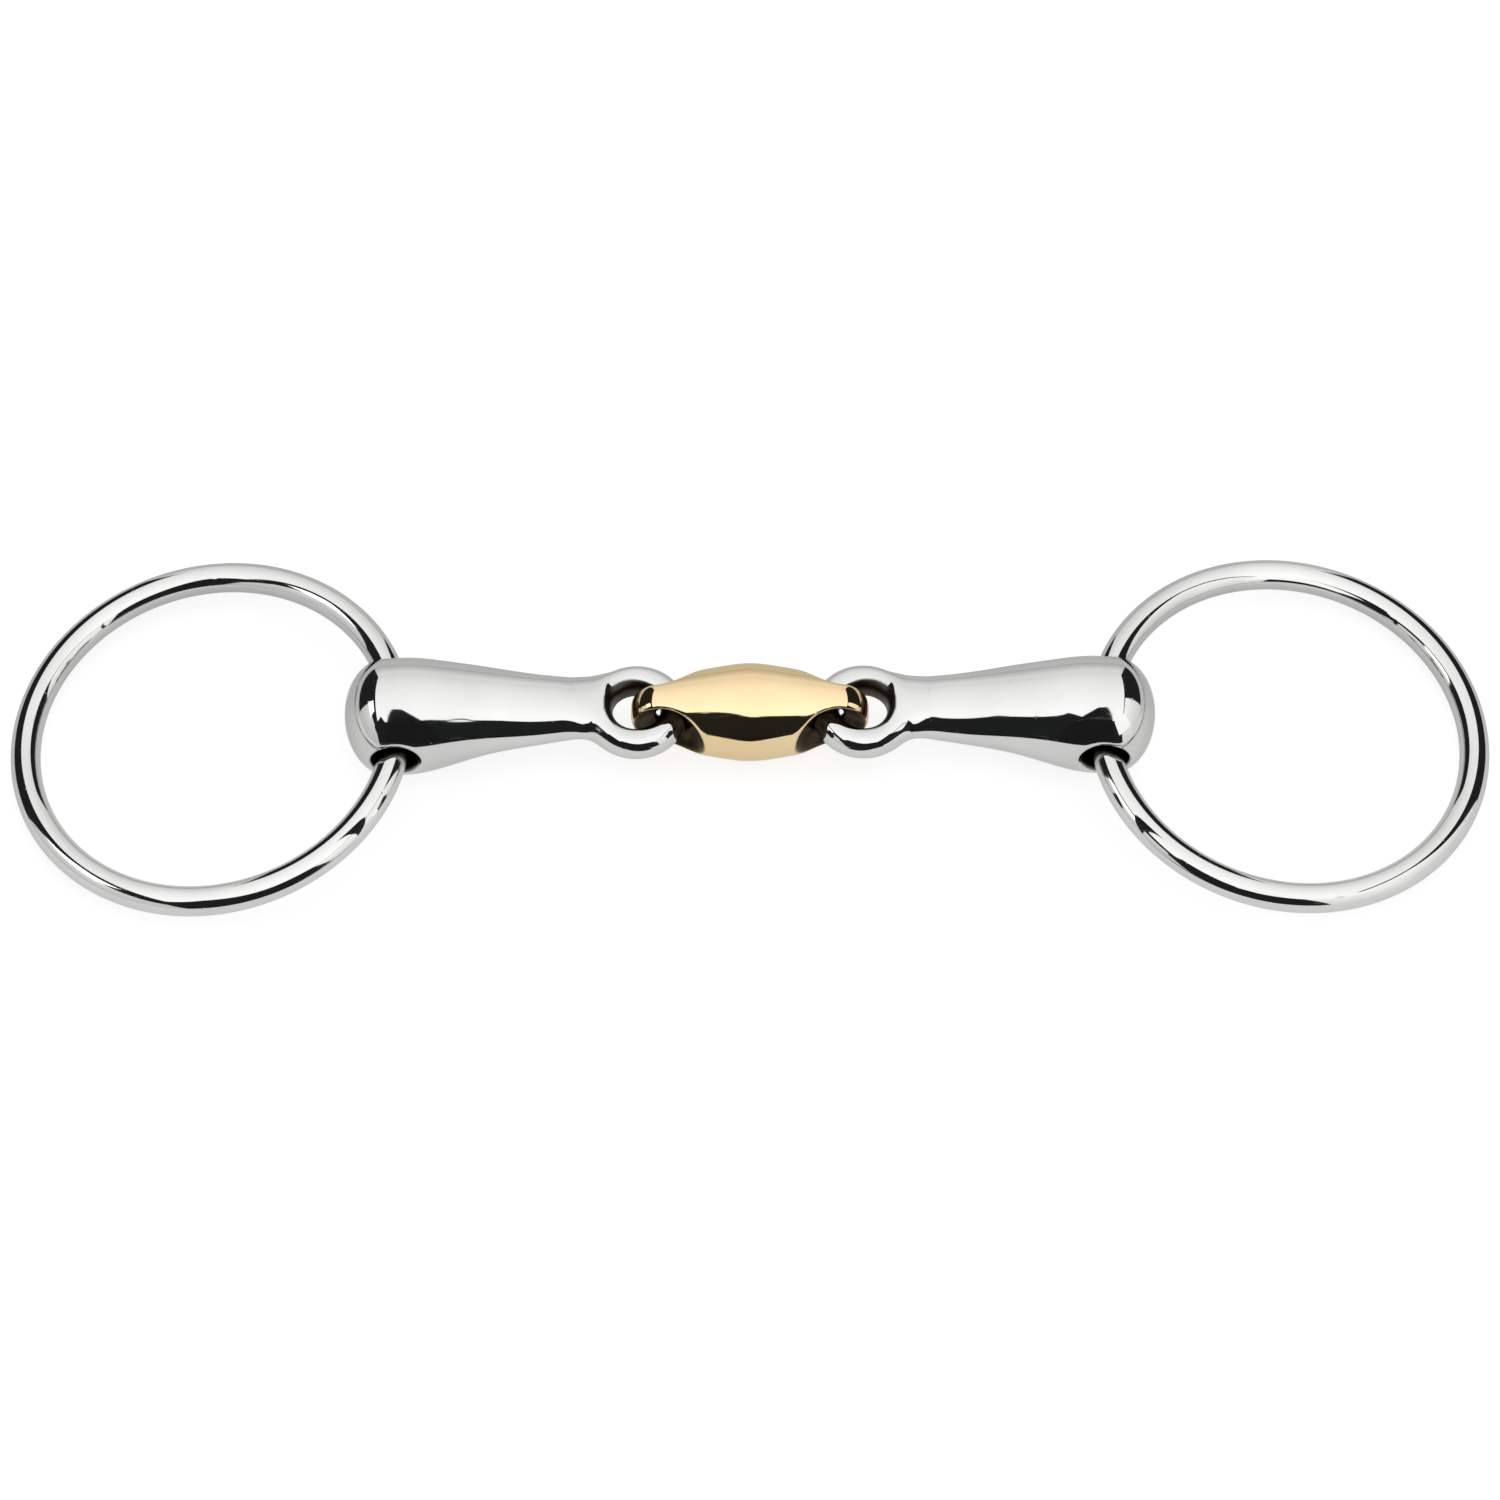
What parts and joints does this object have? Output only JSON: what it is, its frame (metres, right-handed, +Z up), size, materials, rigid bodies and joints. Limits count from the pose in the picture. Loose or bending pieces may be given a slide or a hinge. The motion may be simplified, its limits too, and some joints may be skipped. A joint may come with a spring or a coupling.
{
  "type": "snaffle bit",
  "caption": "Loose-ring snaffle bit with a double-jointed mouthpiece: two round rings, two tapered steel barrels and an oval brass-alloy centre link.",
  "frame": {"origin": "on the surface that the bit rests on, midway between the two rings and under the middle of its box", "axes": "+X along the mouthpiece towards the right-hand ring, +Y towards the back of the bit, +Z up from the table; the two eyes lie a little behind the line between the rings"},
  "size_m": [0.2982, 0.082, 0.0235],
  "materials": {
    "polished_steel": "mirror polish with fine hairline marks",
    "golden_alloy": "mirror polish"
  },
  "bodies": {
    "centre_link": {"centre_link": "golden_alloy"},
    "left_cannon": {"left_cannon": "polished_steel"},
    "right_cannon": {"right_cannon": "polished_steel"},
    "left_ring": {"left_ring": "polished_steel"},
    "right_ring": {"right_ring": "polished_steel"}
  },
  "joints": [
    {"name": "left_cannon_bend", "type": "hinge", "parent": "centre_link", "child": "left_cannon", "pos_m": [-0.0228, 0.00279, 0.01175], "axis": [0, 0, 1], "range_deg": [-60, 60]},
    {"name": "right_cannon_bend", "type": "hinge", "parent": "centre_link", "child": "right_cannon", "pos_m": [0.0228, 0.00279, 0.01175], "axis": [0, 0, -1], "range_deg": [-60, 60]},
    {"name": "left_ring_swing", "type": "hinge", "parent": "left_cannon", "child": "left_ring", "pos_m": [-0.07148, 0.00193, 0.01175], "axis": [-0.0523, 0.9986, 0], "range_deg": [-105, 120]},
    {"name": "right_ring_swing", "type": "hinge", "parent": "right_cannon", "child": "right_ring", "pos_m": [0.07148, 0.00193, 0.01175], "axis": [-0.0523, -0.9986, 0], "range_deg": [-105, 120]}
  ]
}
